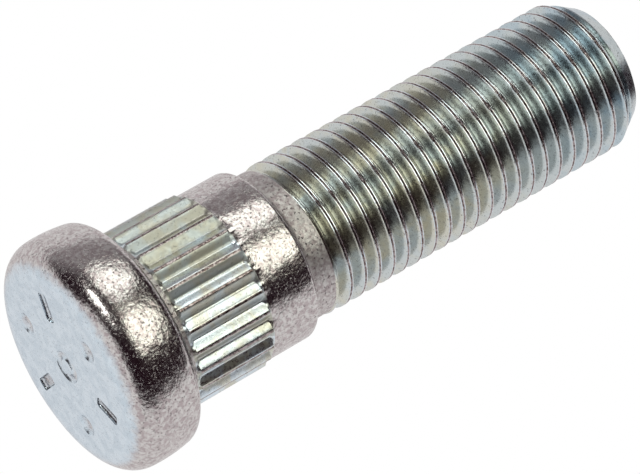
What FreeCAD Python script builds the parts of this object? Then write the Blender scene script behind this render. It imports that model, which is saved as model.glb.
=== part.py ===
"""Press-in wheel stud: round head, serrated knurl, smooth collar and a threaded shank, forged in one piece.

The stud stands on its head. Z runs along its axis, from the middle of the head's outer face at zero
up to the tip of the thread. All sizes are in millimetres.
"""

import FreeCAD, Part
import math
import os

from FreeCAD import Vector

# Head: a flat disc, well rounded at the face and less so at the back
HEAD_DIAMETER = 21.0
HEAD_THICKNESS = 6.45
HEAD_FACE_ROUND = 2.5
HEAD_BACK_ROUND = 1.75
SEAT_BEVEL = 0.35

# Blank: the plain shank that the knurl is rolled into, and that shows on as the collar
BLANK_DIAMETER = 15.56
COLLAR_LENGTH = 4.7
COLLAR_ROUND = 0.4

# Knurl: straight teeth that rise above the blank, with grooves that bite into it
KNURL_DIAMETER = 16.1
KNURL_DEPTH = 0.55
KNURL_TEETH = 26
KNURL_CREST_WIDTH = 0.5
KNURL_FLOOR_WIDTH = 0.12
KNURL_LENGTH = 7.85
KNURL_LAND = 1.05
KNURL_END_SLOPE = 0.3

# Threaded shank: the crests' diameter of an M14 fine thread, behind a short neck, chamfered at the tip
THREAD_DIAMETER = 13.95
NECK_DIAMETER = 13.6
NECK_LENGTH = 2.1
OVERALL_LENGTH = 56.0
TIP_DIAMETER = 11.15
TIP_CHAMFER_LENGTH = 2.2

# Sizes and heights that follow from those
KNURL_ROOT_DIAMETER = KNURL_DIAMETER - 2 * KNURL_DEPTH
KNURL_RAMP = abs(KNURL_DIAMETER - BLANK_DIAMETER) / 2
SEAT_Z = HEAD_THICKNESS
KNURL_START_Z = SEAT_Z + KNURL_LAND
KNURL_END_Z = KNURL_START_Z + KNURL_LENGTH
COLLAR_END_Z = KNURL_END_Z + COLLAR_LENGTH
THREAD_START_Z = COLLAR_END_Z + NECK_LENGTH
CHAMFER_START_Z = OVERALL_LENGTH - TIP_CHAMFER_LENGTH

# The groove cutters start this far outside the teeth, so that no skin is left
CUT_MARGIN = 0.3


def round_corner(corner, before, after):
    """Quarter arc that turns at a right-angled corner, from the point before it to the one after."""
    centre = before + after - corner
    radius = (before - centre).Length
    middle = centre + (corner - centre).normalize() * radius
    return Part.Arc(before, middle, after).toShape()


def at(radius, height):
    """Point of the half section."""
    return Vector(radius, 0, height)


def half_section():
    """Closed outline of the stud from its axis out, with the knurl as a plain band."""
    head = HEAD_DIAMETER / 2
    blank = BLANK_DIAMETER / 2
    crest = KNURL_DIAMETER / 2
    neck = NECK_DIAMETER / 2
    thread = THREAD_DIAMETER / 2

    face_in = at(head - HEAD_FACE_ROUND, 0)
    face_out = at(head, HEAD_FACE_ROUND)
    back_out = at(head, SEAT_Z - HEAD_BACK_ROUND)
    back_in = at(head - HEAD_BACK_ROUND, SEAT_Z)
    bevel_out = at(blank + SEAT_BEVEL, SEAT_Z)
    bevel_in = at(blank, SEAT_Z + SEAT_BEVEL)
    round_out = at(blank, COLLAR_END_Z - COLLAR_ROUND)
    round_in = at(blank - COLLAR_ROUND, COLLAR_END_Z)

    corners_knurl = [
        back_in,
        bevel_out,
        bevel_in,
        at(blank, KNURL_START_Z),
        at(crest, KNURL_START_Z + KNURL_RAMP),
        at(crest, KNURL_END_Z - KNURL_RAMP),
        at(blank, KNURL_END_Z),
        round_out,
    ]
    corners_shank = [
        round_in,
        at(neck, COLLAR_END_Z),
        at(neck, THREAD_START_Z),
        at(thread, THREAD_START_Z + thread - neck),
        at(thread, CHAMFER_START_Z),
        at(TIP_DIAMETER / 2, OVERALL_LENGTH),
        at(0, OVERALL_LENGTH),
        at(0, 0),
        face_in,
    ]
    edges = [
        round_corner(at(head, 0), face_in, face_out),
        Part.makeLine(face_out, back_out),
        round_corner(at(head, SEAT_Z), back_out, back_in),
    ]
    edges += [Part.makeLine(a, b) for a, b in zip(corners_knurl, corners_knurl[1:])]
    edges.append(round_corner(at(blank, COLLAR_END_Z), round_out, round_in))
    edges += [Part.makeLine(a, b) for a, b in zip(corners_shank, corners_shank[1:])]
    return Part.Face(Part.Wire(edges))


def turned_body():
    """The stud as a body of revolution."""
    return half_section().revolve(Vector(0, 0, 0), Vector(0, 0, 1), 360)


def groove_cutter():
    """Wedge that presses one groove at +Y: narrow at the groove's floor, wide at its mouth, sloped at its ends."""
    crest = KNURL_DIAMETER / 2
    root = KNURL_ROOT_DIAMETER / 2
    pitch = math.pi * KNURL_DIAMETER / KNURL_TEETH
    mouth = pitch - KNURL_CREST_WIDTH
    spread = (mouth - KNURL_FLOOR_WIDTH) / 2 / KNURL_DEPTH
    outer = crest + CUT_MARGIN
    half_mouth = mouth / 2 + spread * CUT_MARGIN
    half_floor = KNURL_FLOOR_WIDTH / 2
    end_run = KNURL_END_SLOPE * (KNURL_DEPTH + CUT_MARGIN)
    low = KNURL_START_Z + KNURL_RAMP
    high = KNURL_END_Z
    return Part.makeWedge(
        -half_floor, root, low + end_run, low, -half_mouth,
        half_floor, outer, high - end_run, high, half_mouth,
    )


def knurl_cutters():
    """One cutter for each groove between two teeth."""
    step = 360 / KNURL_TEETH
    cutters = []
    for tooth in range(KNURL_TEETH):
        cutter = groove_cutter()
        cutter.rotate(Vector(0, 0, 0), Vector(0, 0, 1), tooth * step)
        cutters.append(cutter)
    return cutters


def wheel_stud():
    """The finished stud, one solid."""
    return turned_body().cut(knurl_cutters())


def main():
    os.makedirs("parts", exist_ok=True)
    stud = wheel_stud()
    solid = stud.Solids[0]
    solid.exportStep("parts/wheel_stud.step")
    print("solids", len(stud.Solids), "valid", solid.isValid(), "volume", round(solid.Volume, 1))


main()
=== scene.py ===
"""Dresses a press-in wheel stud: forged head and collar, rolled knurl and thread, all zinc plated."""

import bmesh
import bpy
import math
from mathutils import Matrix, Vector, noise


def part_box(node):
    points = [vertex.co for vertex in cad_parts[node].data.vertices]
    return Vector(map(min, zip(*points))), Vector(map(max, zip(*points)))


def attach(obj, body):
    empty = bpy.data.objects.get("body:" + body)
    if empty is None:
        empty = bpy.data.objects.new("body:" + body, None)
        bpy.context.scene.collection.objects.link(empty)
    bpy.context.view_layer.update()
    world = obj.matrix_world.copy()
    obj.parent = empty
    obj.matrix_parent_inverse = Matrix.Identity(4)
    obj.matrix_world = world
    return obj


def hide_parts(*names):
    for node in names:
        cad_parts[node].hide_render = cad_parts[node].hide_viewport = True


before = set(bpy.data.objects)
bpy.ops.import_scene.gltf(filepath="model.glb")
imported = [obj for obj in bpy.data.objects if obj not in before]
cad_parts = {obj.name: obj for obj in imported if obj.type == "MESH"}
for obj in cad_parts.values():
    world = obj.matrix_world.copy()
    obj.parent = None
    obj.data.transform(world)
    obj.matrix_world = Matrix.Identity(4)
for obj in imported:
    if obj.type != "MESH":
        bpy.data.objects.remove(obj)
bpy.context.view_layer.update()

bl_info = {
    "name": "Wheel Stud",
    "version": (1, 0, 0),
    "blender": (4, 5, 0),
    "location": "3D View > Sidebar > Stud",
    "description": "Models a zinc-plated press-in wheel stud with its knurl and rolled thread",
    "category": "Object",
}

# One millimetre in the scene's metres
MM = 0.001
NODE = "wheel_stud"
PIECE = "stud"
STUD_LOW, STUD_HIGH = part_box(NODE)
HEAD_RADIUS = STUD_HIGH.x
LENGTH = STUD_HIGH.z
MIDDLE = Vector((0, 0, LENGTH / 2))


class StudSizes(bpy.types.PropertyGroup):
    """Sizes of the stud; heights run along the axis from the head's face to the tip."""

    head_thickness: bpy.props.FloatProperty(
        name="Head thickness", description="From the head's face to its seat",
        default=6.45 * MM, subtype="DISTANCE")
    face_round: bpy.props.FloatProperty(
        name="Face round", description="Rounding between the head's face and side",
        default=2.4 * MM, subtype="DISTANCE")
    back_round: bpy.props.FloatProperty(
        name="Back round", description="Rounding between the head's side and seat",
        default=1.1 * MM, subtype="DISTANCE")
    crown_radius: bpy.props.FloatProperty(
        name="Crown radius", description="Radius to which the head's side is crowned along the axis",
        default=14.0 * MM, subtype="DISTANCE")
    crown_height: bpy.props.FloatProperty(
        name="Crown height", description="Height at which the head is widest",
        default=3.1 * MM, subtype="DISTANCE")
    seat_bevel: bpy.props.FloatProperty(
        name="Seat bevel", description="Bevel in the corner between seat and shank",
        default=0.35 * MM, subtype="DISTANCE")
    blank_radius: bpy.props.FloatProperty(
        name="Blank radius", description="Radius of the collar and of the shank under the knurl",
        default=7.78 * MM, subtype="DISTANCE")
    knurl_radius: bpy.props.FloatProperty(
        name="Knurl radius", description="Radius over the knurl's crests",
        default=8.05 * MM, subtype="DISTANCE")
    knurl_depth: bpy.props.FloatProperty(
        name="Knurl depth", description="From crest to the point where the groove's flanks meet",
        default=0.6 * MM, subtype="DISTANCE")
    knurl_teeth: bpy.props.IntProperty(
        name="Knurl teeth", description="Teeth round the shank", default=26)
    knurl_start: bpy.props.FloatProperty(
        name="Knurl start", description="Height where the teeth start",
        default=7.5 * MM, subtype="DISTANCE")
    knurl_end: bpy.props.FloatProperty(
        name="Knurl end", description="Height where the teeth end",
        default=15.35 * MM, subtype="DISTANCE")
    collar_end: bpy.props.FloatProperty(
        name="Collar end", description="Height of the collar's shoulder",
        default=20.05 * MM, subtype="DISTANCE")
    collar_round: bpy.props.FloatProperty(
        name="Collar round", description="Rounding of the collar's shoulder",
        default=0.4 * MM, subtype="DISTANCE")
    neck_radius: bpy.props.FloatProperty(
        name="Neck radius", description="Radius between collar and thread",
        default=6.8 * MM, subtype="DISTANCE")
    neck_fillet: bpy.props.FloatProperty(
        name="Neck fillet", description="Fillet between the collar's shoulder and the neck",
        default=0.56 * MM, subtype="DISTANCE")
    thread_radius: bpy.props.FloatProperty(
        name="Thread radius", description="Radius over the thread's crests",
        default=6.975 * MM, subtype="DISTANCE")
    thread_pitch: bpy.props.FloatProperty(
        name="Thread pitch", description="Rise of one turn",
        default=1.5 * MM, subtype="DISTANCE")
    thread_depth: bpy.props.FloatProperty(
        name="Thread depth", description="From crest to root",
        default=0.92 * MM, subtype="DISTANCE")
    thread_start: bpy.props.FloatProperty(
        name="Thread start", description="Height where the grooves begin",
        default=22.3 * MM, subtype="DISTANCE")
    crest_height: bpy.props.FloatProperty(
        name="Crest height", description="Height of one full crest on the side towards the camera",
        default=23.75 * MM, subtype="DISTANCE")
    tip_radius: bpy.props.FloatProperty(
        name="Tip radius", description="Radius of the flat end",
        default=5.575 * MM, subtype="DISTANCE")
    tip_chamfer: bpy.props.FloatProperty(
        name="Tip chamfer", description="Length of the chamfer at the tip",
        default=2.2 * MM, subtype="DISTANCE")


class StudColours(bpy.types.PropertyGroup):
    """Colours of the zinc plate and of the studio."""

    skin: bpy.props.FloatVectorProperty(
        name="Forged skin", description="Warm grey of the plated forging",
        default=(0.40, 0.345, 0.35), subtype="COLOR")
    bloom: bpy.props.FloatVectorProperty(
        name="Skin bloom", description="Pale grains of the plated forging",
        default=(0.58, 0.555, 0.545), subtype="COLOR")
    face: bpy.props.FloatVectorProperty(
        name="Head face", description="Pale blue-white of the stamped face",
        default=(0.53, 0.605, 0.67), subtype="COLOR")
    pale: bpy.props.FloatVectorProperty(
        name="Pale zinc", description="Lightest zinc, on the face, the knurl and the crests' lips",
        default=(0.62, 0.69, 0.75), subtype="COLOR")
    flank: bpy.props.FloatVectorProperty(
        name="Rolled flank", description="Clear blue-green of the smooth flanks",
        default=(0.52, 0.56, 0.565), subtype="COLOR")
    dull: bpy.props.FloatVectorProperty(
        name="Dull flank", description="Pale grey of the flanks that the rolls left dull",
        default=(0.57, 0.62, 0.63), subtype="COLOR")
    olive: bpy.props.FloatVectorProperty(
        name="Olive tint", description="Yellowish bloom of the passivation",
        default=(0.56, 0.55, 0.48), subtype="COLOR")
    blue: bpy.props.FloatVectorProperty(
        name="Blue tint", description="Blue bloom near the tip",
        default=(0.43, 0.51, 0.56), subtype="COLOR")
    crest: bpy.props.FloatVectorProperty(
        name="Rolled crest", description="Dull brown of the knurl's crests and the thread's seam",
        default=(0.14, 0.10, 0.095), subtype="COLOR")
    pit: bpy.props.FloatVectorProperty(
        name="Pit", description="Dark of the small pits",
        default=(0.05, 0.035, 0.04), subtype="COLOR")
    floor: bpy.props.FloatVectorProperty(
        name="Floor", description="Pale floor",
        default=(0.86, 0.86, 0.86), subtype="COLOR")


# Detail of the mesh: steps, rows and merging distances
TOOTH_STEPS = 16
KNURL_ROWS = 30
ARC_STEPS = 10
SHOULDER_STEPS = 8
FILLET_STEPS = 6
COLLAR_ROWS = 7
NECK_ROWS = 4
THREAD_STEPS = 96
SPARE_TURNS = 4
FACE_RINGS = (2.4 * MM, 4.4 * MM, 6.2 * MM, 7.6 * MM)
MERGE_GAP = 2e-6
CUT_SNAP = 1e-7

# The neck's own mesh ends and the thread's begins this far below the grooves, with a bridge between
NECK_STOP = 0.7 * MM
THREAD_STOP = 0.4 * MM

# Knurl: crest as a share of a tooth's width, and the grooves' rounded ends
CREST_SHARE = 0.15
GROOVE_END_RUN = 0.75 * MM
GROOVE_START_GAP = 0.1 * MM
GROOVE_END_GAP = 0.02 * MM
# The grooves' floor is blunted from this share of the way down, by this share of the depth
FLOOR_FROM = 0.82
FLOOR_BLUNT = 0.12

# Thread: crest and root as shares of the pitch
CREST_FLAT = 0.26
ROOT_FLAT = 0.08
# Rolling leaves a seam in the crest's middle and a lip on each side; their ends are shares of the crest
SEAM_SHARE = 0.25
LIP_SHARE = 0.45
SEAM_DEPTH = 0.09 * MM
LIP_ROUND = 0.004 * MM
LIP_EDGE = 0.028 * MM
# Where the seam's sides turn steeper, as shares of its half width and its depth
SEAM_TURN = 0.6
SEAM_TURN_DEPTH = 0.55
# Rows on a flank and the rise of the root's corner, as shares of the thread's depth
FLANK_ROWS = (0.2, 0.4, 0.62, 0.85)
ROOT_RISE = 0.035
# Run-out at the neck, and wear of the crests with its scale in waves per millimetre
RUN_OUT = 0.35 * MM
CREST_WEAR = 0.02 * MM
WEAR_MARGIN = 0.01 * MM
WEAR_SCALE = 2.5

# Marks stamped in the head's face: dashes and dots in turn on a circle, and a ring in the middle
MARK_COUNT = 6
MARK_CIRCLE = 5.6 * MM
DASH_LENGTH = 2.7 * MM
DASH_WIDTH = 1.15 * MM
DASH_DEPTH = 0.32 * MM
DASH_BEVEL = 0.29 * MM
BEVEL_STEPS = 5
DOT_RADIUS = 1.4 * MM
DOT_DEPTH = 0.4 * MM
DOT_STEPS = (32, 24)
RING_RADIUS = 1.1 * MM
RING_WIRE = 0.45 * MM
RING_DEPTH = 0.26 * MM
RING_STEPS = (48, 16)

# Camera: fitted to the photograph, angles in degrees, lens and sensor in millimetres
CAMERA_SIDE = -87.47
CAMERA_FROM_AXIS = 65.24
CAMERA_ROLL = 60.305
CAMERA_YAW = -0.227
CAMERA_PITCH = -0.315
CAMERA_DISTANCE = 372.2 * MM
CAMERA_AIM = 27.91 * MM
CAMERA_NEAR = 10 * MM
CAMERA_LENS = 249.7
CAMERA_SENSOR = 36


def sizes():
    """The stud's sizes, kept on the scene."""
    return bpy.context.scene.stud_sizes


def colours():
    """The stud's colours, kept on the scene."""
    return bpy.context.scene.stud_colours


def clear_selection():
    """Deselects every object."""
    bpy.ops.object.select_all(action="DESELECT")


def select_only(piece):
    """Selects one object and makes it the active one."""
    clear_selection()
    piece.select_set(True)
    bpy.context.view_layer.objects.active = piece


def edit_all():
    """Goes into edit mode with the whole mesh selected."""
    bpy.ops.object.mode_set(mode="EDIT")
    bpy.ops.mesh.select_all(action="SELECT")


def leave_edit():
    """Goes back to object mode."""
    bpy.ops.object.mode_set(mode="OBJECT")


def arc(centre, radius, start, end, steps=ARC_STEPS):
    """Points of an arc in the half section, angles in degrees from the outward direction."""
    points = []
    for i in range(steps + 1):
        angle = math.radians(start + (end - start) * i / steps)
        points.append((centre[0] + radius * math.cos(angle), centre[1] + radius * math.sin(angle)))
    return points


def spread(low, high, count):
    """Evenly spaced values from low to high, both included."""
    return [low + (high - low) * i / (count - 1) for i in range(count)]


def draw_chain(name, points):
    """A half section drawn by extruding one vertex from point to point, on the side of +X."""
    clear_selection()
    bpy.ops.mesh.primitive_plane_add(size=MM, location=(0, 0, 0))
    piece = bpy.context.active_object
    piece.name = name
    piece.data.name = name
    edit_all()
    bpy.ops.mesh.merge(type="CENTER")
    bpy.ops.transform.translate(value=(points[0][0], 0, points[0][1]))
    for before, after in zip(points, points[1:]):
        step = (after[0] - before[0], 0, after[1] - before[1])
        bpy.ops.mesh.extrude_region_move(TRANSFORM_OT_translate={"value": step})
    leave_edit()
    return piece


def head_rim():
    """Half section of the head's rim: face round, crowned side and back round, each tangent to the next."""
    s = sizes()
    inner = HEAD_RADIUS - s.crown_radius
    to_face = s.crown_radius - s.face_round
    to_back = s.crown_radius - s.back_round
    low = math.asin((s.crown_height - s.face_round) / to_face)
    high = math.asin((s.head_thickness - s.back_round - s.crown_height) / to_back)
    face_centre = (inner + to_face * math.cos(low), s.face_round)
    back_centre = (inner + to_back * math.cos(high), s.head_thickness - s.back_round)
    face_arc = arc(face_centre, s.face_round, -90, -math.degrees(low))
    crown = arc((inner, s.crown_height), s.crown_radius, -math.degrees(low), math.degrees(high))[1:-1]
    back_arc = arc(back_centre, s.back_round, math.degrees(high), 90)
    return face_arc + crown + back_arc


def knurl_band():
    """Half section of the knurl as a plain band, with rows closer together at both ends."""
    s = sizes()
    ramp = s.knurl_radius - s.blank_radius
    low = s.knurl_start + ramp
    high = s.knurl_end - ramp
    shares = [0.5 - 0.5 * math.cos(math.pi * i / KNURL_ROWS) for i in range(KNURL_ROWS + 1)]
    teeth = [(s.knurl_radius, low + (high - low) * share) for share in shares]
    return [(s.blank_radius, s.knurl_start)] + teeth + [(s.blank_radius, s.knurl_end)]


def forged_section():
    """Half section from the head's face round to the neck."""
    s = sizes()
    face = [(radius, 0) for radius in FACE_RINGS]
    seat = [
        (s.blank_radius + s.seat_bevel, s.head_thickness),
        (s.blank_radius, s.head_thickness + s.seat_bevel),
    ]
    round_start = s.collar_end - s.collar_round
    collar = [(s.blank_radius, z) for z in spread(s.knurl_end, round_start, COLLAR_ROWS)[1:-1]]
    shoulder = arc((s.blank_radius - s.collar_round, round_start), s.collar_round, 0, 90, SHOULDER_STEPS)
    fillet_end = s.collar_end + s.neck_fillet
    root = arc((s.neck_radius + s.neck_fillet, fillet_end), s.neck_fillet, -90, -180, FILLET_STEPS)
    neck = [(s.neck_radius, z) for z in spread(fillet_end, s.thread_start - NECK_STOP, NECK_ROWS)[1:]]
    return face + head_rim() + seat + knurl_band() + collar + shoulder + root + neck


def groove_depth(share, height):
    """How deep the groove is at a share of the tooth's width from its middle, and at a height."""
    s = sizes()
    half_mouth = 0.5 - CREST_SHARE / 2
    across = max(0.0, 1 - abs(share) / half_mouth)
    blunted = FLOOR_BLUNT * max(0.0, across - FLOOR_FROM) / (1 - FLOOR_FROM)
    valley = s.knurl_depth * (across - blunted)
    from_end = min(height - s.knurl_start - GROOVE_START_GAP, s.knurl_end - GROOVE_END_GAP - height)
    t = min(1.0, max(0.0, from_end / GROOVE_END_RUN))
    end = s.knurl_depth * math.sqrt(max(0.0, 1 - (1 - t) ** 2))
    return min(valley, end)


def press_groove(piece):
    """Presses one groove into the middle of the single tooth-wide sector."""
    s = sizes()
    step = 2 * math.pi / s.knurl_teeth
    for vertex in piece.data.vertices:
        height = vertex.co.z
        if not s.knurl_start <= height <= s.knurl_end:
            continue
        radius = vertex.co.xy.length
        angle = math.atan2(vertex.co.y, vertex.co.x)
        share = abs(angle) / step - 0.5
        pressed = min(radius, s.knurl_radius - groove_depth(share, height))
        vertex.co.x *= pressed / radius
        vertex.co.y *= pressed / radius


def close_face(piece):
    """Fills the middle of the head's face."""
    bpy.ops.object.mode_set(mode="EDIT")
    bpy.ops.mesh.select_mode(type="VERT")
    bpy.ops.mesh.select_all(action="DESELECT")
    mesh = bmesh.from_edit_mesh(piece.data)
    rim = min(v.co.xy.length for v in mesh.verts)
    for vertex in mesh.verts:
        vertex.select = vertex.co.z < MERGE_GAP and vertex.co.xy.length < rim + MERGE_GAP
    mesh.select_flush_mode()
    bmesh.update_edit_mesh(piece.data)
    bpy.ops.mesh.edge_face_add()
    leave_edit()


class STUD_OT_forge_body(bpy.types.Operator):
    """Model the head, knurl, collar and neck from one tooth-wide sector"""

    bl_idname = "stud.forge_body"
    bl_label = "Forge body"

    def execute(self, context):
        s = sizes()
        piece = draw_chain(PIECE, forged_section())
        sector = 2 * math.pi / s.knurl_teeth
        edit_all()
        bpy.ops.mesh.spin(steps=TOOTH_STEPS, dupli=False, angle=sector, center=(0, 0, 0), axis=(0, 0, 1))
        leave_edit()
        press_groove(piece)
        edit_all()
        copies = s.knurl_teeth - 1
        bpy.ops.mesh.spin(steps=copies, dupli=True, angle=sector * copies, center=(0, 0, 0), axis=(0, 0, 1))
        bpy.ops.mesh.select_all(action="SELECT")
        bpy.ops.mesh.remove_doubles(threshold=MERGE_GAP)
        leave_edit()
        close_face(piece)
        return {"FINISHED"}


def thread_turn():
    """Half section of one pitch, from crest to crest: seam, lip, flank, root, flank and lip again."""
    s = sizes()
    crest = s.thread_radius
    root = crest - s.thread_depth
    seam = SEAM_SHARE * CREST_FLAT
    lip = LIP_SHARE * CREST_FLAT
    edge = CREST_FLAT / 2
    flank = (1 - CREST_FLAT - ROOT_FLAT) / 2
    form = [
        (0.0, crest - SEAM_DEPTH),
        (SEAM_TURN * seam, crest - SEAM_TURN_DEPTH * SEAM_DEPTH),
        (seam, crest - LIP_ROUND),
        ((seam + lip) / 2, crest),
        (lip, crest - LIP_ROUND),
        (edge, crest - LIP_EDGE),
    ]
    form += [(edge + t * flank, crest - t * s.thread_depth) for t in FLANK_ROWS]
    form += [(edge + flank, root + ROOT_RISE * s.thread_depth), (0.5, root)]
    mirrored = [(1 - share, radius) for share, radius in reversed(form[:-1])]
    return [(radius, share * s.thread_pitch) for share, radius in form + mirrored]


def screw_up(thread):
    """Screws the section of one pitch up the axis, some turns longer than the shank needs."""
    s = sizes()
    screw = thread.modifiers.new("Turns", "SCREW")
    screw.axis = "Z"
    screw.angle = 2 * math.pi
    screw.screw_offset = s.thread_pitch
    screw.iterations = math.ceil((LENGTH - s.thread_start) / s.thread_pitch) + SPARE_TURNS
    screw.steps = THREAD_STEPS
    screw.render_steps = THREAD_STEPS
    screw.use_merge_vertices = True
    screw.merge_threshold = MERGE_GAP
    bpy.ops.object.modifier_apply(modifier=screw.name)


def place_thread(thread):
    """Turns the thread so that a crest crosses the camera's side at its measured height, and lifts it."""
    s = sizes()
    first = s.crest_height
    while first > s.thread_start - 2 * s.thread_pitch:
        first -= s.thread_pitch
    thread.data.transform(Matrix.Rotation(math.radians(CAMERA_SIDE), 4, "Z"))
    thread.data.transform(Matrix.Translation((0, 0, first)))


def groove_start(angle):
    """Height where the groove begins: along the helix on the camera's side, eased back on the far one."""
    s = sizes()
    return s.thread_start + s.thread_pitch / (2 * math.pi) * math.sin(angle - math.radians(CAMERA_SIDE))


def thread_envelope(radius, height, angle):
    """Radius of the thread after its run-out at the neck and the chamfer at the tip."""
    s = sizes()
    t = min(1.0, max(0.0, (height - groove_start(angle)) / RUN_OUT))
    eased = t * t * (3 - 2 * t)
    radius = s.neck_radius + (radius - s.neck_radius) * eased
    slope = (s.thread_radius - s.tip_radius) / s.tip_chamfer
    return min(radius, s.tip_radius + slope * max(0.0, LENGTH - height))


def trim_thread(thread):
    """Roughens the crests, runs the thread out into the neck and chamfers its tip."""
    worn_from = sizes().thread_radius - SEAM_DEPTH - WEAR_MARGIN
    for vertex in thread.data.vertices:
        radius = vertex.co.xy.length
        angle = math.atan2(vertex.co.y, vertex.co.x)
        worn = radius
        if radius > worn_from:
            worn += CREST_WEAR * noise.noise(vertex.co / MM * WEAR_SCALE)
        trimmed = thread_envelope(worn, vertex.co.z, angle)
        vertex.co.x *= trimmed / radius
        vertex.co.y *= trimmed / radius


def cut_level(height, upwards, fill):
    """Cuts the mesh in edit mode level at a height and drops what lies beyond."""
    bpy.ops.mesh.select_all(action="SELECT")
    direction = (0, 0, 1) if upwards else (0, 0, -1)
    bpy.ops.mesh.bisect(
        plane_co=(0, 0, height), plane_no=direction, clear_outer=True, clear_inner=False,
        use_fill=fill, threshold=CUT_SNAP)


def bridge_rims():
    """Closes the band between the neck's rim and the thread's first level."""
    bpy.ops.object.mode_set(mode="EDIT")
    bpy.ops.mesh.select_mode(type="EDGE")
    bpy.ops.mesh.select_all(action="DESELECT")
    bpy.ops.mesh.select_non_manifold(
        extend=False, use_wire=False, use_boundary=True, use_multi_face=False,
        use_non_contiguous=False, use_verts=False)
    bpy.ops.mesh.bridge_edge_loops()
    bpy.ops.mesh.select_all(action="SELECT")
    bpy.ops.mesh.normals_make_consistent(inside=False)
    leave_edit()


class STUD_OT_roll_thread(bpy.types.Operator):
    """Model the right-hand thread by screwing one pitch's section up the axis, and join it to the neck"""

    bl_idname = "stud.roll_thread"
    bl_label = "Roll thread"

    def execute(self, context):
        body = bpy.data.objects[PIECE]
        thread = draw_chain("thread", thread_turn())
        screw_up(thread)
        place_thread(thread)
        trim_thread(thread)
        edit_all()
        bpy.ops.mesh.remove_doubles(threshold=MERGE_GAP)
        cut_level(sizes().thread_start - THREAD_STOP, False, False)
        cut_level(LENGTH, True, True)
        leave_edit()
        select_only(body)
        thread.select_set(True)
        bpy.ops.object.join()
        bridge_rims()
        return {"FINISHED"}


def mark_places():
    """Place and turn of each mark on the circle."""
    for i in range(MARK_COUNT):
        angle = 2 * math.pi * (i + 0.5) / MARK_COUNT
        yield (MARK_CIRCLE * math.cos(angle), MARK_CIRCLE * math.sin(angle)), angle


def add_dash(place, angle):
    """Bevelled bar that points at the middle of the face."""
    clear_selection()
    bpy.ops.mesh.primitive_cube_add(
        size=1, location=(*place, 0), rotation=(0, 0, angle),
        scale=(DASH_LENGTH, DASH_WIDTH, 2 * DASH_DEPTH))
    bpy.ops.object.transform_apply(location=False, rotation=False, scale=True)
    edit_all()
    bpy.ops.mesh.bevel(offset=DASH_BEVEL, segments=BEVEL_STEPS, affect="EDGES")
    leave_edit()
    return bpy.context.active_object


def add_dot(place):
    """Ball that leaves a round dent."""
    clear_selection()
    bpy.ops.mesh.primitive_uv_sphere_add(
        segments=DOT_STEPS[0], ring_count=DOT_STEPS[1], radius=DOT_RADIUS,
        location=(*place, DOT_DEPTH - DOT_RADIUS))
    return bpy.context.active_object


def add_ring():
    """Ring in the middle of the face."""
    clear_selection()
    bpy.ops.mesh.primitive_torus_add(
        major_radius=RING_RADIUS, minor_radius=RING_WIRE, major_segments=RING_STEPS[0],
        minor_segments=RING_STEPS[1], location=(0, 0, RING_DEPTH - RING_WIRE))
    return bpy.context.active_object


class STUD_OT_stamp_marks(bpy.types.Operator):
    """Stamp plain dashes, dots and a ring into the head's face"""

    bl_idname = "stud.stamp_marks"
    bl_label = "Stamp marks"

    def execute(self, context):
        piece = bpy.data.objects[PIECE]
        punches = [add_ring()]
        for i, (place, angle) in enumerate(mark_places()):
            punches.append(add_dash(place, angle) if i % 2 else add_dot(place))
        for punch in punches:
            punch.select_set(True)
        bpy.ops.object.join()
        punch = context.active_object
        select_only(piece)
        stamp = piece.modifiers.new("Stamp", "BOOLEAN")
        stamp.operation = "DIFFERENCE"
        stamp.solver = "EXACT"
        stamp.object = punch
        bpy.ops.object.modifier_apply(modifier=stamp.name)
        bpy.data.objects.remove(punch)
        return {"FINISHED"}


class Sketch:
    """Short way to add nodes to a node tree and to link them."""

    def __init__(self, tree):
        self.nodes = tree.nodes
        self.links = tree.links

    def add(self, kind, **settings):
        """Adds one node with its settings."""
        node = self.nodes.new(kind)
        for name, value in settings.items():
            setattr(node, name, value)
        return node

    def feed(self, socket, value):
        """Links a socket to another one, or sets its plain value."""
        if isinstance(value, bpy.types.NodeSocket):
            self.links.new(value, socket)
        else:
            socket.default_value = value

    def math(self, operation, *values):
        """Result of one arithmetic step."""
        node = self.add("ShaderNodeMath", operation=operation)
        for socket, value in zip(node.inputs, values):
            self.feed(socket, value)
        return node.outputs["Value"]

    def ramp(self, value, low, high, start=0.0, end=1.0, smooth=True):
        """Value that goes from start to end while another one goes from low to high."""
        node = self.add("ShaderNodeMapRange", interpolation_type="SMOOTHSTEP" if smooth else "LINEAR")
        names = ("Value", "From Min", "From Max", "To Min", "To Max")
        for name, given in zip(names, (value, low, high, start, end)):
            self.feed(node.inputs[name], given)
        return node.outputs["Result"]

    def noise(self, place, scale, detail=2.0, roughness=0.5, distortion=0.0):
        """Value that varies from place to place."""
        node = self.add("ShaderNodeTexNoise")
        names = ("Vector", "Scale", "Detail", "Roughness", "Distortion")
        for name, given in zip(names, (place, scale, detail, roughness, distortion)):
            self.feed(node.inputs[name], given)
        return node.outputs["Fac"]

    def mix(self, kind, factor, first, second):
        """Blend of two colours (RGBA) or two values (FLOAT)."""
        node = self.add("ShaderNodeMix", data_type=kind)
        inputs = {socket.name: socket for socket in node.inputs if socket.enabled}
        for name, given in (("Factor", factor), ("A", first), ("B", second)):
            self.feed(inputs[name], given)
        return next(socket for socket in node.outputs if socket.enabled)

    def group(self, tree, values):
        """Places a node group with its own values and gives its outputs by name."""
        node = self.add("ShaderNodeGroup", node_tree=tree)
        for name, value in values.items():
            node.inputs[name].default_value = value
        return {socket.name: socket for socket in node.outputs}

    def place(self):
        """Object coordinates in metres."""
        return self.add("ShaderNodeTexCoord").outputs["Object"]

    def millimetres(self):
        """Object coordinates in millimetres."""
        node = self.add("ShaderNodeMapping")
        self.feed(node.inputs["Vector"], self.place())
        node.inputs["Scale"].default_value = (1 / MM, 1 / MM, 1 / MM)
        return node.outputs["Vector"]


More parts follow.
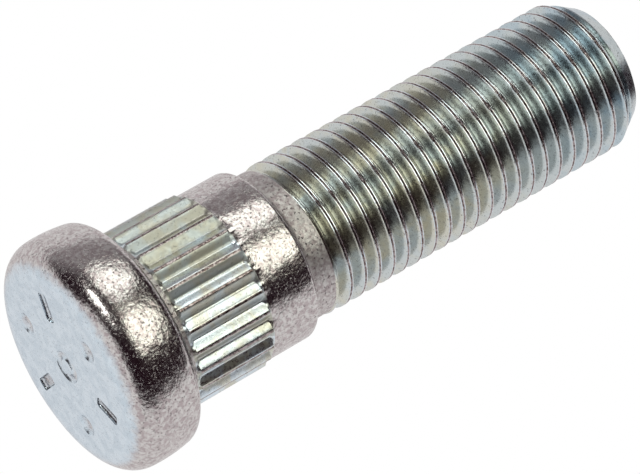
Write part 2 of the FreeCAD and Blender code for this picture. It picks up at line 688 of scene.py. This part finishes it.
def rgba(colour):
    """Colour with full alpha, as node sockets take it."""
    return (colour[0], colour[1], colour[2], 1)


def new_group(name, inputs, outputs):
    """Node group whose inputs are plain values where the default is a number, and colours otherwise."""
    group = bpy.data.node_groups.new(name, "ShaderNodeTree")
    for socket_name, value in inputs.items():
        kind = "NodeSocketFloat" if isinstance(value, float) else "NodeSocketColor"
        socket = group.interface.new_socket(socket_name, in_out="INPUT", socket_type=kind)
        socket.default_value = value
    for socket_name, kind in outputs.items():
        group.interface.new_socket(socket_name, in_out="OUTPUT", socket_type=kind)
    return group


def new_material(name):
    """Material with nodes."""
    material = bpy.data.materials.new(name)
    material.use_nodes = True
    return material


# Inputs of the plate's group: scales in waves per millimetre, heights in millimetres
PLATE_INPUTS = {
    "Base": (0.5, 0.5, 0.5, 1.0),
    "Tint": (0.5, 0.5, 0.5, 1.0),
    "Pit": (0.2, 0.2, 0.2, 1.0),
    "Tint Scale": 0.3,
    "Grain Scale": 4.0,
    "Grain Height": 0.02,
    "Lump Height": 0.03,
    "Pit Scale": 2.5,
    "Pit Amount": 0.3,
    "Smooth": 0.25,
    "Rough": 0.5,
}
PLATE_OUTPUTS = {"Color": "NodeSocketColor", "Roughness": "NodeSocketFloat", "Height": "NodeSocketFloat"}
# Stretches of the noises' range over which tint, pits and roughness change
TINT_SPAN = (0.36, 0.64)
PIT_SPAN = (0.60, 0.70)
GRAIN_SPAN = (0.3, 0.7)
# Detail, roughness and distortion of the noises, and the scale of the lumps
TINT_NOISE = (3.0, 0.55, 0.6)
GRAIN_NOISE = (2.5, 0.55)
PIT_NOISE = (2.0, 0.5, 0.3)
LUMP_SCALE = 0.9


def zinc_group():
    """Node group for zinc plate: a colour that drifts between two tints, pits, grain and its roughness."""
    group = new_group("Zinc plate", PLATE_INPUTS, PLATE_OUTPUTS)
    sketch = Sketch(group)
    given = sketch.add("NodeGroupInput").outputs
    out = sketch.add("NodeGroupOutput").inputs
    place = sketch.millimetres()
    tint = sketch.ramp(sketch.noise(place, given["Tint Scale"], *TINT_NOISE), *TINT_SPAN)
    grain = sketch.noise(place, given["Grain Scale"], *GRAIN_NOISE)
    pits = sketch.ramp(sketch.noise(place, given["Pit Scale"], *PIT_NOISE), *PIT_SPAN)
    pit_mask = sketch.math("MULTIPLY", pits, given["Pit Amount"])
    drifting = sketch.mix("RGBA", tint, given["Base"], given["Tint"])
    sketch.feed(out["Color"], sketch.mix("RGBA", pit_mask, drifting, given["Pit"]))
    roughness = sketch.ramp(grain, *GRAIN_SPAN, given["Smooth"], given["Rough"], smooth=False)
    sketch.feed(out["Roughness"], roughness)
    fine = sketch.math("MULTIPLY", sketch.math("SUBTRACT", grain, pit_mask), given["Grain Height"])
    coarse = sketch.math("MULTIPLY", sketch.noise(place, LUMP_SCALE), given["Lump Height"])
    sketch.feed(out["Height"], sketch.math("ADD", fine, coarse))
    return group


ZONE_INPUTS = {"Low": 0.0, "High": 1.0, "Waver": 0.5, "Waver Scale": 0.8}
NOISE_MIDDLE = 0.5


def zone_group():
    """Node group for a wavering border across the axis: 0 below one height, 1 above another."""
    group = new_group("Height zone", ZONE_INPUTS, {"Mask": "NodeSocketFloat"})
    sketch = Sketch(group)
    given = sketch.add("NodeGroupInput").outputs
    out = sketch.add("NodeGroupOutput").inputs
    place = sketch.millimetres()
    split = sketch.add("ShaderNodeSeparateXYZ")
    sketch.feed(split.inputs["Vector"], place)
    shift = sketch.math("SUBTRACT", sketch.noise(place, given["Waver Scale"]), NOISE_MIDDLE)
    height = sketch.math("MULTIPLY_ADD", shift, given["Waver"], split.outputs["Z"])
    sketch.feed(out["Mask"], sketch.ramp(height, given["Low"], given["High"]))
    return group


# Finishes of the plate: names of its colours, scales in waves per millimetre, heights in millimetres
FINISHES = {
    "skin": {
        "Base": "skin", "Tint": "bloom", "Pit": "pit", "Tint Scale": 2.6,
        "Grain Scale": 4.5, "Grain Height": 0.022, "Lump Height": 0.06,
        "Pit Scale": 5.0, "Pit Amount": 0.6, "Smooth": 0.15, "Rough": 0.27,
    },
    "face": {
        "Base": "face", "Tint": "pale", "Pit": "pit", "Tint Scale": 1.0,
        "Grain Scale": 4.0, "Grain Height": 0.012, "Lump Height": 0.03,
        "Pit Scale": 5.0, "Pit Amount": 0.3, "Smooth": 0.22, "Rough": 0.34,
    },
    "flank": {
        "Base": "flank", "Tint": "olive", "Pit": "pit", "Tint Scale": 0.3,
        "Grain Scale": 3.0, "Grain Height": 0.006, "Lump Height": 0.015,
        "Pit Scale": 5.0, "Pit Amount": 0.5, "Smooth": 0.19, "Rough": 0.28,
    },
    "tip": {
        "Base": "flank", "Tint": "blue", "Pit": "pit", "Tint Scale": 0.3,
        "Grain Scale": 3.0, "Grain Height": 0.006, "Lump Height": 0.015,
        "Pit Scale": 5.0, "Pit Amount": 0.5, "Smooth": 0.19, "Rough": 0.28,
    },
    "groove": {
        "Base": "pale", "Tint": "olive", "Pit": "pit", "Tint Scale": 0.5,
        "Grain Scale": 3.0, "Grain Height": 0.008, "Lump Height": 0.015,
        "Pit Scale": 5.0, "Pit Amount": 0.3, "Smooth": 0.24, "Rough": 0.36,
    },
    "dull": {
        "Base": "dull", "Tint": "olive", "Pit": "pit", "Tint Scale": 0.5,
        "Grain Scale": 3.0, "Grain Height": 0.008, "Lump Height": 0.015,
        "Pit Scale": 5.0, "Pit Amount": 0.3, "Smooth": 0.41, "Rough": 0.53,
    },
    "neck": {
        "Base": "skin", "Tint": "bloom", "Pit": "pit", "Tint Scale": 2.6,
        "Grain Scale": 4.5, "Grain Height": 0.03, "Lump Height": 0.06,
        "Pit Scale": 4.0, "Pit Amount": 0.8, "Smooth": 0.38, "Rough": 0.55,
    },
    "lip": {
        "Base": "pale", "Tint": "bloom", "Pit": "pit", "Tint Scale": 2.6,
        "Grain Scale": 4.5, "Grain Height": 0.006, "Lump Height": 0.01,
        "Pit Scale": 5.0, "Pit Amount": 0.4, "Smooth": 0.10, "Rough": 0.18,
    },
    "crest": {
        "Base": "crest", "Tint": "skin", "Pit": "pit", "Tint Scale": 3.0,
        "Grain Scale": 5.0, "Grain Height": 0.03, "Lump Height": 0.02,
        "Pit Scale": 4.5, "Pit Amount": 0.6, "Smooth": 0.18, "Rough": 0.36,
    },
}
GRAZING_TINT = (0.86, 0.84, 0.84, 1)

# Borders between two finishes, in millimetres from the head's face
# The stamped dents sink past the face's border, so their insides take the darker, rougher skin finish:
# rougher metal, and painted shade in the dents.
FACE_BORDER = {"Low": 0.02, "High": 0.55, "Waver": 0.5, "Waver Scale": 1.6}
TIP_BORDER = {"Low": 36.0, "High": 52.0, "Waver": 8.0, "Waver Scale": 0.2}


def finish_values(finish):
    """Values of a finish, with the colours looked up by name."""
    values = {}
    for socket, value in FINISHES[finish].items():
        values[socket] = rgba(getattr(colours(), value)) if isinstance(value, str) else value
    return values


def plated_material(name, plate, finish, upper=None, zone=None, border=None):
    """Metal under a zinc plate, with another finish above a border where one is given."""
    material = new_material(name)
    sketch = Sketch(material.node_tree)
    look = sketch.group(plate, finish_values(finish))
    if upper:
        higher = sketch.group(plate, finish_values(upper))
        mask = sketch.group(zone, border)["Mask"]
        for socket, lower in look.items():
            kind = "RGBA" if socket == "Color" else "FLOAT"
            look[socket] = sketch.mix(kind, mask, lower, higher[socket])
    bump = sketch.add("ShaderNodeBump")
    sketch.feed(bump.inputs["Strength"], 1.0)
    sketch.feed(bump.inputs["Distance"], MM)
    sketch.feed(bump.inputs["Height"], look["Height"])
    shader = sketch.nodes["Principled BSDF"].inputs
    sketch.feed(shader["Metallic"], 1.0)
    sketch.feed(shader["Specular Tint"], GRAZING_TINT)
    sketch.feed(shader["Base Color"], look["Color"])
    sketch.feed(shader["Roughness"], look["Roughness"])
    sketch.feed(shader["Normal"], bump.outputs["Normal"])
    return material


# Order of the stud's material slots
FORGED, ROLLED, CREST, LIP, NECK, BRIGHT, DULL = range(7)

# Margins that tell a surface from the next one
SEAT_MARGIN = 0.05 * MM
KNURL_CREST_BAND = 0.03 * MM
TIP_MARGIN = 0.01 * MM
# Edges that turn by less than this angle, in degrees, are shaded smooth
SMOOTH_ANGLE = 38


def knurl_finish(radius, angle):
    """Finish on the knurl: crest, or one of a groove's two flanks."""
    s = sizes()
    if radius > s.knurl_radius - KNURL_CREST_BAND:
        return CREST
    share = angle * s.knurl_teeth / (2 * math.pi) % 1
    return DULL if share < 0.5 else BRIGHT


def thread_finish(radius, height, angle):
    """Finish on the thread: flank, or the lip or seam of a crest."""
    s = sizes()
    turn = (angle - math.radians(CAMERA_SIDE)) / (2 * math.pi)
    share = ((height - s.crest_height) / s.thread_pitch - turn) % 1
    across = min(share, 1 - share) / CREST_FLAT
    if radius < s.thread_radius - SEAM_DEPTH or across > LIP_SHARE:
        return ROLLED
    return CREST if across < SEAM_SHARE else LIP


def finish_of(polygon):
    """Which plated surface a face belongs to, by its place."""
    s = sizes()
    height = polygon.center.z
    radius = polygon.center.xy.length
    angle = math.atan2(polygon.center.y, polygon.center.x)
    # The land between the seat and the knurl takes the neck's rough, heavily pitted finish, which leaves
    # the corner under the head darker.
    if s.head_thickness + SEAT_MARGIN < height <= s.knurl_start:
        return NECK
    if s.knurl_start < height < s.knurl_end:
        return knurl_finish(radius, angle)
    if groove_start(angle) < height < LENGTH - TIP_MARGIN:
        return thread_finish(radius, height, angle)
    return NECK if height > s.collar_end else FORGED


class STUD_OT_plate(bpy.types.Operator):
    """Give the stud its zinc-plated finishes and seat it in the frame"""

    bl_idname = "stud.plate"
    bl_label = "Plate"

    def execute(self, context):
        piece = bpy.data.objects[PIECE]
        plate = zinc_group()
        zone = zone_group()
        for material in (
            plated_material("forged skin", plate, "face", "skin", zone, FACE_BORDER),
            plated_material("rolled flank", plate, "flank", "tip", zone, TIP_BORDER),
            plated_material("rolled crest", plate, "crest"),
            plated_material("rolled lip", plate, "lip"),
            plated_material("drawn neck", plate, "neck"),
            plated_material("bright groove", plate, "groove"),
            plated_material("dull groove", plate, "dull"),
        ):
            piece.data.materials.append(material)
        for polygon in piece.data.polygons:
            polygon.material_index = finish_of(polygon)
        select_only(piece)
        bpy.ops.object.shade_smooth_by_angle(angle=math.radians(SMOOTH_ANGLE))
        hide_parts(NODE)
        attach(piece, "root")
        return {"FINISHED"}


def camera_axes():
    """Right, up and backward directions of the camera from its fitted angles, and the way to it."""
    tilt = math.radians(CAMERA_FROM_AXIS)
    roll = math.radians(CAMERA_ROLL)
    back = Vector((math.sin(tilt), 0, -math.cos(tilt)))
    level = Vector((0, 1, 0))
    above = back.cross(level)
    right = math.cos(roll) * level + math.sin(roll) * above
    up = -math.sin(roll) * level + math.cos(roll) * above
    yaw = math.tan(math.radians(CAMERA_YAW))
    pitch = math.tan(math.radians(CAMERA_PITCH))
    forward = (-back + yaw * right + pitch * up).normalized()
    right = (right - forward * right.dot(forward)).normalized()
    up = right.cross(forward)
    side = Matrix.Rotation(math.radians(CAMERA_SIDE), 3, "Z")
    return side @ right, side @ up, side @ -forward, side @ back


def add_camera():
    """Camera fitted to the photograph."""
    right, up, backward, back = camera_axes()
    data = bpy.data.cameras.new("camera")
    data.sensor_width = CAMERA_SENSOR
    data.lens = CAMERA_LENS
    data.clip_start = CAMERA_NEAR
    camera = bpy.data.objects.new("camera", data)
    bpy.context.scene.collection.objects.link(camera)
    turn = Matrix((right, up, backward)).transposed().to_4x4()
    place = Vector((0, 0, CAMERA_AIM)) + back * CAMERA_DISTANCE
    camera.matrix_world = Matrix.Translation(place) @ turn
    bpy.context.scene.camera = camera


def toward(direction):
    """Way in the scene of a direction given as right, up and towards the camera."""
    right, up, backward, _ = camera_axes()
    return (direction[0] * right + direction[1] * up + direction[2] * backward).normalized()


# Softboxes: ways as right, up and towards the camera, both lengths in metres, power in watts
SOFTBOX_DISTANCE = 0.40
SOFTBOXES = {
    "softbox_top": {
        "way": (0.12, 0.88, 0.456), "long_side": (1, 0, 0), "lengths": (0.235, 0.235),
        "watts": 0.34, "colour": (0.96, 1.0, 0.92),
    },
    "softbox_right": {
        "way": (0.59, 0.31, 0.745), "long_side": (1, 0, 0), "lengths": (0.265, 0.265),
        "watts": 0.45, "colour": (0.97, 1.0, 0.87),
    },
    "strip_front": {
        "way": (-0.40, 0.37, 0.84), "long_side": (0.40, -0.54, 0.44), "lengths": (0.22, 0.085),
        "watts": 0.31, "colour": (0.97, 1.0, 0.94),
    },
}


def add_softboxes():
    """Round and oval area lamps that face the stud."""
    for name, box in SOFTBOXES.items():
        data = bpy.data.lights.new(name, "AREA")
        data.shape = "ELLIPSE"
        data.size, data.size_y = box["lengths"]
        data.energy = box["watts"]
        data.color = box["colour"]
        lamp = bpy.data.objects.new(name, data)
        bpy.context.scene.collection.objects.link(lamp)
        backward = toward(box["way"])
        across = backward.cross(toward(box["long_side"])).normalized()
        turn = Matrix((across.cross(backward), across, backward)).transposed().to_4x4()
        lamp.matrix_world = Matrix.Translation(MIDDLE + backward * SOFTBOX_DISTANCE) @ turn


# Dark half of the studio that the bright metal mirrors: the way to its middle, and its radius in metres
DARK_SIDE = (0.06, 0.43, 0.90)
DARK_RADIUS = 1.2
DARK_STEPS = (64, 32)
# Its colours, and the side where it grows lighter from this share of the radius on
DARK_LOW = (0.022, 0.009, 0.015, 1)
DARK_HIGH = (0.42, 0.40, 0.41, 1)
LIGHTER_SIDE = (-0.35, 0.85, -0.40)
LIGHTER_FROM = 0.5
# The part in front of the head's face is left open round this direction, from this share of the radius on
FRONT_SIDE = (-0.739, -0.537, 0.419)
FRONT_OPEN = 0.87

# Small dark card beyond the tip, mirrored by the chamfer: the way to it, its distance and radius in metres
TIP_CARD = (0.82, 0.06, -0.56)
TIP_CARD_DISTANCE = 0.2
TIP_CARD_RADIUS = 0.06
TIP_CARD_STEPS = 48


def show_in_reflections(card):
    """Hides a card from the camera, from diffuse light and from shadows, so that only bright metal shows
    it.
    """
    card.visible_camera = False
    card.visible_diffuse = False
    card.visible_shadow = False


def glowing_material(name):
    """Material that gives off an even colour, with its sketch and the socket for the colour."""
    material = new_material(name)
    sketch = Sketch(material.node_tree)
    glow = sketch.add("ShaderNodeEmission")
    sketch.feed(sketch.nodes["Material Output"].inputs["Surface"], glow.outputs["Emission"])
    return material, sketch, glow.inputs["Color"]


def dark_material():
    """Near black, and lighter towards one side."""
    material, sketch, colour = glowing_material("dark card")
    climb = sketch.add("ShaderNodeVectorMath", operation="DOT_PRODUCT")
    sketch.feed(climb.inputs[0], sketch.place())
    sketch.feed(climb.inputs[1], toward(LIGHTER_SIDE))
    share = sketch.ramp(climb.outputs["Value"], LIGHTER_FROM * DARK_RADIUS, DARK_RADIUS)
    sketch.feed(colour, sketch.mix("RGBA", share, DARK_LOW, DARK_HIGH))
    return material


def cut_card(place, normal, beyond):
    """Cuts the card in edit mode along a plane and drops the part beyond it, or else the part before it."""
    bpy.ops.mesh.select_all(action="SELECT")
    bpy.ops.mesh.bisect(plane_co=place, plane_no=normal, clear_inner=not beyond, clear_outer=beyond)


def add_dark_side():
    """Dark curved card round the camera's side of the stud, seen only in reflections."""
    clear_selection()
    bpy.ops.mesh.primitive_uv_sphere_add(
        segments=DARK_STEPS[0], ring_count=DARK_STEPS[1], radius=DARK_RADIUS, location=MIDDLE)
    card = bpy.context.active_object
    card.name = "dark_side"
    ahead = toward(FRONT_SIDE)
    edit_all()
    cut_card(MIDDLE, toward(DARK_SIDE), False)
    cut_card(MIDDLE + ahead * FRONT_OPEN * DARK_RADIUS, ahead, True)
    leave_edit()
    card.data.materials.append(dark_material())
    show_in_reflections(card)


def add_tip_card():
    """Small dark disc beyond the thread's tip, seen only in reflections."""
    outward = toward(TIP_CARD)
    chamfer = Vector((0, 0, LENGTH - sizes().tip_chamfer))
    clear_selection()
    bpy.ops.mesh.primitive_circle_add(
        vertices=TIP_CARD_STEPS, radius=TIP_CARD_RADIUS, fill_type="NGON",
        location=chamfer + outward * TIP_CARD_DISTANCE, rotation=outward.to_track_quat("Z", "Y").to_euler())
    card = bpy.context.active_object
    card.name = "tip_card"
    material, sketch, colour = glowing_material("black card")
    sketch.feed(colour, DARK_LOW)
    card.data.materials.append(material)
    show_in_reflections(card)


# Floor: radius, gap under the stud and the stretch over which it fades into the background, in metres
FLOOR_RADIUS = 2.0
FLOOR_GAP = 0.00002
FADE_FROM = 0.10
FADE_TO = 0.50
FLOOR_STEPS = 64
FLOOR_ROUGHNESS = 0.9


def floor_material():
    """Pale floor, shown only to the camera, from above and near the stud, with the stud's shadow on it."""
    material = new_material("pale floor")
    sketch = Sketch(material.node_tree)
    shader = sketch.nodes["Principled BSDF"]
    sketch.feed(shader.inputs["Base Color"], rgba(colours().floor))
    sketch.feed(shader.inputs["Roughness"], FLOOR_ROUGHNESS)
    sketch.feed(shader.inputs["Specular IOR Level"], 0.0)
    seen = sketch.add("ShaderNodeLightPath").outputs["Is Camera Ray"]
    front = sketch.math("SUBTRACT", 1.0, sketch.add("ShaderNodeNewGeometry").outputs["Backfacing"])
    distance = sketch.add("ShaderNodeVectorMath", operation="LENGTH")
    sketch.feed(distance.inputs[0], sketch.place())
    near = sketch.ramp(distance.outputs["Value"], FADE_FROM, FADE_TO, 1.0, 0.0)
    shown = sketch.math("MULTIPLY", sketch.math("MULTIPLY", seen, front), near)
    blend = sketch.add("ShaderNodeMixShader")
    sketch.feed(blend.inputs["Fac"], shown)
    sketch.feed(blend.inputs[1], sketch.add("ShaderNodeBsdfTransparent").outputs["BSDF"])
    sketch.feed(blend.inputs[2], shader.outputs["BSDF"])
    sketch.feed(sketch.nodes["Material Output"].inputs["Surface"], blend.outputs["Shader"])
    return material


def add_floor():
    """Wide disc just under the head's face."""
    clear_selection()
    bpy.ops.mesh.primitive_circle_add(
        vertices=FLOOR_STEPS, radius=FLOOR_RADIUS, fill_type="NGON",
        location=(0, 0, STUD_LOW.z - FLOOR_GAP))
    floor = bpy.context.active_object
    floor.name = "floor"
    floor.data.materials.append(floor_material())


# Level of the world's light on all that is not seen straight, mirrored or seen through
WORLD_LEVEL = 0.85


def add_world():
    """White to the camera and in reflections, and a plain soft level for everything else."""
    world = bpy.data.worlds.new("studio")
    world.use_nodes = True
    bpy.context.scene.world = world
    sketch = Sketch(world.node_tree)
    background = sketch.nodes["Background"].inputs
    sketch.feed(background["Color"], (1, 1, 1, 1))
    rays = sketch.add("ShaderNodeLightPath").outputs
    seen = rays["Is Camera Ray"]
    for other in ("Is Glossy Ray", "Is Transmission Ray"):
        seen = sketch.math("MAXIMUM", seen, rays[other])
    sketch.feed(background["Strength"], sketch.ramp(seen, 0.0, 1.0, WORLD_LEVEL, 1.0, smooth=False))


class STUD_OT_stage(bpy.types.Operator):
    """Set up the pale floor, soft light, dark cards and the camera"""

    bl_idname = "stud.stage"
    bl_label = "Stage"

    def execute(self, context):
        context.scene.view_settings.view_transform = "Standard"
        add_world()
        add_floor()
        add_dark_side()
        add_tip_card()
        add_softboxes()
        add_camera()
        return {"FINISHED"}


class STUD_PT_panel(bpy.types.Panel):
    """Lists the stud's sizes, colours and steps"""

    bl_label = "Wheel Stud"
    bl_idname = "STUD_PT_panel"
    bl_space_type = "VIEW_3D"
    bl_region_type = "UI"
    bl_category = "Stud"

    def draw(self, context):
        layout = self.layout
        for group in (context.scene.stud_sizes, context.scene.stud_colours):
            for name in group.__annotations__:
                layout.prop(group, name)
        for step in STEPS:
            layout.operator(step.bl_idname)


STEPS = (STUD_OT_forge_body, STUD_OT_roll_thread, STUD_OT_stamp_marks, STUD_OT_plate, STUD_OT_stage)
CLASSES = (StudSizes, StudColours) + STEPS + (STUD_PT_panel,)


def register():
    """Makes the panel, the operators and the properties known to Blender."""
    for item in CLASSES:
        bpy.utils.register_class(item)
    bpy.types.Scene.stud_sizes = bpy.props.PointerProperty(type=StudSizes)
    bpy.types.Scene.stud_colours = bpy.props.PointerProperty(type=StudColours)


def unregister():
    """Takes them away again."""
    del bpy.types.Scene.stud_colours
    del bpy.types.Scene.stud_sizes
    for item in reversed(CLASSES):
        bpy.utils.unregister_class(item)


def main():
    """Builds the stud and its stage."""
    register()
    bpy.ops.stud.forge_body()
    bpy.ops.stud.roll_thread()
    bpy.ops.stud.stamp_marks()
    bpy.ops.stud.plate()
    bpy.ops.stud.stage()


if __name__ == "__main__":
    main()
